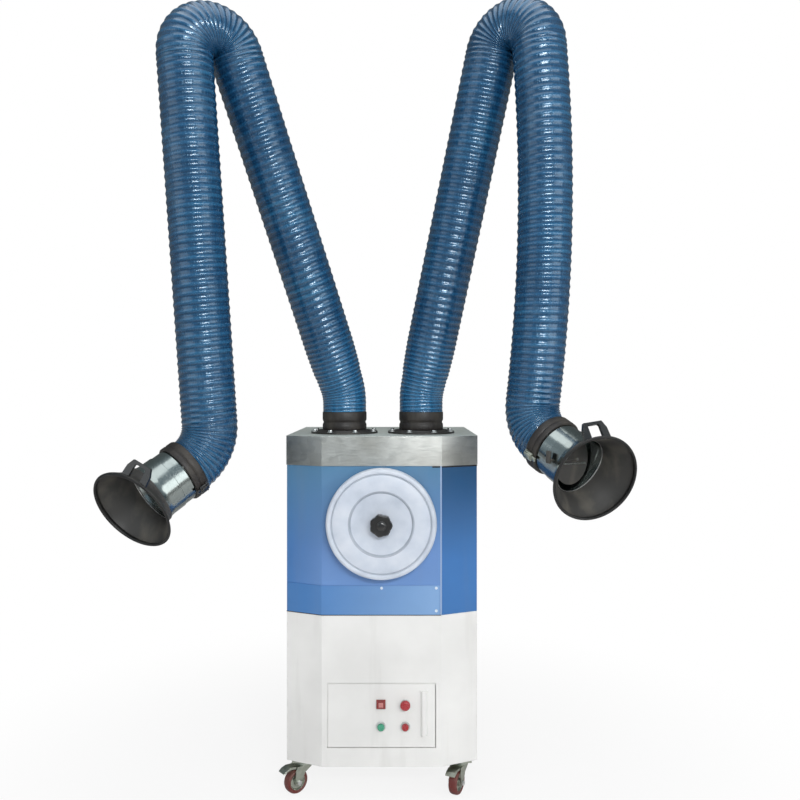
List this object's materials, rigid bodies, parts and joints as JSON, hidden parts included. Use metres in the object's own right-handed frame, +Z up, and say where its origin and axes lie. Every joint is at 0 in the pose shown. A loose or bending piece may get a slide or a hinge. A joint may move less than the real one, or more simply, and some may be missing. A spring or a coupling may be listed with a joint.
{
  "type": "fume extraction arm",
  "caption": "Mobile cabinet fume extractor with ribbed hose arms on turning flanges, flared hoods, round filter cover, control door and braked casters.",
  "frame": {"origin": "on the floor under the middle of the whole object", "axes": "+Z up, the front with the round filter cover and the control door faces -Y, +X to the right as seen from the front"},
  "size_m": [1.5944, 1.001, 2.5873],
  "materials": {
    "galvanised": "zinc plated sheet",
    "white_paint": "powder coat, satin",
    "blue_paint": "powder coat, satin",
    "bare_steel": "bare galvanised sheet",
    "filter_paper": "pleated paper",
    "pale_paint": "powder coat, satin",
    "black_plastic": "moulded",
    "green_plastic": "moulded",
    "red_plastic": "moulded",
    "fan_alloy": "cast",
    "motor_paint": "painted casting",
    "zinc": "zinc plated",
    "red_tread": "polyurethane tread",
    "black_steel": "black coat",
    "black_rubber": "moulded rubber",
    "link_alloy": "drawn tube",
    "hose_fabric": "coated fabric over a wire coil",
    "nozzle_steel": "bright galvanised sheet",
    "hood_plastic": "moulded, satin"
  },
  "bodies": {
    "cabinet": {"base_pan": "galvanised", "lower_shell": "white_paint", "rear_grille": "white_paint", "upper_shell": "blue_paint", "strip_panel": "blue_paint", "top_cap": "bare_steel", "bulkhead": "galvanised", "filter_cartridge": "filter_paper", "draw_rod": "galvanised", "fan_scroll": "galvanised", "fan_motor": "motor_paint", "cable_gland": "black_plastic", "swivel_flange_left": "black_steel", "swivel_flange_right": "black_steel"},
    "filter_cover": {"filter_cover": "pale_paint"},
    "cover_knob": {"cover_knob": "black_plastic"},
    "control_door": {"control_door": "white_paint", "power_lamp": "red_plastic"},
    "start_button": {"start_button": "green_plastic"},
    "stop_button": {"stop_button": "red_plastic"},
    "emergency_stop": {"emergency_stop": "red_plastic"},
    "impeller": {"impeller": "fan_alloy"},
    "fork_front_left": {"caster_fork_front_left": "zinc"},
    "wheel_front_left": {"caster_wheel_front_left": "red_tread"},
    "pedal_front_left": {"brake_pedal_front_left": "zinc"},
    "fork_front_right": {"caster_fork_front_right": "zinc"},
    "wheel_front_right": {"caster_wheel_front_right": "red_tread"},
    "pedal_front_right": {"brake_pedal_front_right": "zinc"},
    "fork_rear_left": {"caster_fork_rear_left": "zinc"},
    "wheel_rear_left": {"caster_wheel_rear_left": "red_tread"},
    "fork_rear_right": {"caster_fork_rear_right": "zinc"},
    "wheel_rear_right": {"caster_wheel_rear_right": "red_tread"},
    "arm_base_left": {"hose_cuff_left": "black_rubber"},
    "lower_arm_left": {"lower_link_left": "link_alloy", "hose_lower_left": "hose_fabric", "hose_shoulder_left": "hose_fabric"},
    "upper_arm_left": {"upper_link_left": "link_alloy", "hose_upper_left": "hose_fabric", "hose_elbow_left": "hose_fabric"},
    "wrist_left": {"wrist_yoke_left": "link_alloy", "hose_wrist_left": "hose_fabric"},
    "hood_left": {"hood_cuff_left": "black_rubber", "nozzle_left": "nozzle_steel", "hood_left": "hood_plastic", "hood_handle_left": "black_plastic"},
    "damper_left": {"damper_left": "hood_plastic"},
    "arm_base_right": {"hose_cuff_right": "black_rubber"},
    "lower_arm_right": {"lower_link_right": "link_alloy", "hose_lower_right": "hose_fabric", "hose_shoulder_right": "hose_fabric"},
    "upper_arm_right": {"upper_link_right": "link_alloy", "hose_upper_right": "hose_fabric", "hose_elbow_right": "hose_fabric"},
    "wrist_right": {"wrist_yoke_right": "link_alloy", "hose_wrist_right": "hose_fabric"},
    "hood_right": {"hood_cuff_right": "black_rubber", "nozzle_right": "nozzle_steel", "hood_right": "hood_plastic", "hood_handle_right": "black_plastic"},
    "damper_right": {"damper_right": "hood_plastic"}
  },
  "joints": [
    {"name": "filter_cover_pull", "type": "slide", "parent": "cabinet", "child": "filter_cover", "axis": [0, -1, 0], "range_m": [0, 0.12]},
    {"name": "cover_knob_turn", "type": "hinge", "parent": "filter_cover", "child": "cover_knob", "pos_m": [0.04336, -0.18652, 0.908], "axis": [0, 1, 0], "continuous": true},
    {"name": "control_door_hinge", "type": "hinge", "parent": "cabinet", "child": "control_door", "pos_m": [-0.13214, -0.12652, 0.2785], "axis": [0, 0, -1], "range_deg": [0, 105]},
    {"name": "start_button_push", "type": "slide", "parent": "control_door", "child": "start_button", "axis": [0, 1, 0], "range_m": [0, 0.004], "stiffness_N_per_m": 400},
    {"name": "stop_button_push", "type": "slide", "parent": "control_door", "child": "stop_button", "axis": [0, 1, 0], "range_m": [0, 0.004], "stiffness_N_per_m": 400},
    {"name": "emergency_stop_push", "type": "slide", "parent": "control_door", "child": "emergency_stop", "axis": [0, 1, 0], "range_m": [0, 0.0035]},
    {"name": "impeller_spin", "type": "hinge", "parent": "cabinet", "child": "impeller", "pos_m": [0.04336, 0.32848, 0.5], "axis": [0, 0, 1], "continuous": true},
    {"name": "caster_swivel_front_left", "type": "hinge", "parent": "cabinet", "child": "fork_front_left", "pos_m": [-0.21864, -0.04852, 0.1], "axis": [0, 0, 1], "continuous": true},
    {"name": "caster_roll_front_left", "type": "hinge", "parent": "fork_front_left", "child": "wheel_front_left", "pos_m": [-0.24316, -0.06909, 0.04], "axis": [0.6428, -0.766, 0], "continuous": true},
    {"name": "brake_pedal_front_left", "type": "hinge", "parent": "fork_front_left", "child": "pedal_front_left", "pos_m": [-0.25388, -0.07809, 0.088], "axis": [0.6428, -0.766, 0], "range_deg": [0, 14]},
    {"name": "caster_swivel_front_right", "type": "hinge", "parent": "cabinet", "child": "fork_front_right", "pos_m": [0.30536, -0.04852, 0.1], "axis": [0, 0, 1], "continuous": true},
    {"name": "caster_roll_front_right", "type": "hinge", "parent": "fork_front_right", "child": "wheel_front_right", "pos_m": [0.29083, -0.07703, 0.04], "axis": [0.891, -0.454, 0], "continuous": true},
    {"name": "brake_pedal_front_right", "type": "hinge", "parent": "fork_front_right", "child": "pedal_front_right", "pos_m": [0.28447, -0.08951, 0.088], "axis": [0.891, -0.454, 0], "range_deg": [0, 14]},
    {"name": "caster_swivel_rear_left", "type": "hinge", "parent": "cabinet", "child": "fork_rear_left", "pos_m": [-0.21864, 0.39948, 0.1], "axis": [0, 0, 1], "continuous": true},
    {"name": "caster_roll_rear_left", "type": "hinge", "parent": "fork_rear_left", "child": "wheel_rear_left", "pos_m": [-0.22692, 0.43039, 0.04], "axis": [-0.9659, -0.2588, 0], "continuous": true},
    {"name": "caster_swivel_rear_right", "type": "hinge", "parent": "cabinet", "child": "fork_rear_right", "pos_m": [0.30536, 0.39948, 0.1], "axis": [0, 0, 1], "continuous": true},
    {"name": "caster_roll_rear_right", "type": "hinge", "parent": "fork_rear_right", "child": "wheel_rear_right", "pos_m": [0.31418, 0.43024, 0.04], "axis": [-0.9613, 0.2756, 0], "continuous": true},
    {"name": "arm_swivel_left", "type": "hinge", "parent": "cabinet", "child": "arm_base_left", "pos_m": [-0.09064, 0.07348, 1.2], "axis": [0, 0, -1], "range_deg": [-40, 90]},
    {"name": "arm_shoulder_left", "type": "hinge", "parent": "arm_base_left", "child": "lower_arm_left", "pos_m": [-0.09064, 0.07348, 1.325], "axis": [0.6239, -0.7815, 0], "range_deg": [-18, 26], "deforming": ["hose_shoulder_left"]},
    {"name": "arm_elbow_left", "type": "hinge", "parent": "lower_arm_left", "child": "upper_arm_left", "pos_m": [-0.49724, -0.2511, 2.45093], "axis": [-0.6239, 0.7815, 0], "range_deg": [-4, 110], "deforming": ["hose_elbow_left"]},
    {"name": "hood_swivel_left", "type": "hinge", "parent": "upper_arm_left", "child": "wrist_left", "pos_m": [-0.48976, -0.24513, 1.27253], "axis": [-0.0566, -0.0451, 0.9974], "range_deg": [-60, 60]},
    {"name": "hood_tilt_left", "type": "hinge", "parent": "wrist_left", "child": "hood_left", "pos_m": [-0.48286, -0.23962, 1.15085], "axis": [0.6293, -0.7772, 0.0005], "range_deg": [-26, 58], "deforming": ["hose_wrist_left"]},
    {"name": "damper_lever_left", "type": "hinge", "parent": "hood_left", "child": "damper_left", "pos_m": [-0.60759, -0.34069, 1.05111], "axis": [0.6293, -0.7772, 0.0005], "range_deg": [-66, 24]},
    {"name": "arm_swivel_right", "type": "hinge", "parent": "cabinet", "child": "arm_base_right", "pos_m": [0.17736, 0.07348, 1.2], "axis": [0, 0, 1], "range_deg": [-40, 90]},
    {"name": "arm_shoulder_right", "type": "hinge", "parent": "arm_base_right", "child": "lower_arm_right", "pos_m": [0.17736, 0.07348, 1.325], "axis": [0.6252, 0.7804, 0], "range_deg": [-12, 26], "deforming": ["hose_shoulder_right"]},
    {"name": "arm_elbow_right", "type": "hinge", "parent": "lower_arm_right", "child": "upper_arm_right", "pos_m": [0.47644, -0.16613, 2.50414], "axis": [-0.6252, -0.7804, 0], "range_deg": [-6, 105], "deforming": ["hose_elbow_right"]},
    {"name": "hood_swivel_right", "type": "hinge", "parent": "upper_arm_right", "child": "wrist_right", "pos_m": [0.52592, -0.20577, 1.33796], "axis": [-0.0978, 0.0784, -0.9921], "range_deg": [-60, 60]},
    {"name": "hood_tilt_right", "type": "hinge", "parent": "wrist_right", "child": "hood_right", "pos_m": [0.51398, -0.19621, 1.21692], "axis": [0.7887, 0.6141, -0.0293], "range_deg": [-18, 66], "deforming": ["hose_wrist_right"]},
    {"name": "damper_lever_right", "type": "hinge", "parent": "hood_right", "child": "damper_right", "pos_m": [0.61545, -0.33062, 1.13114], "axis": [0.7887, 0.6141, -0.0293], "range_deg": [-66, 24]}
  ]
}
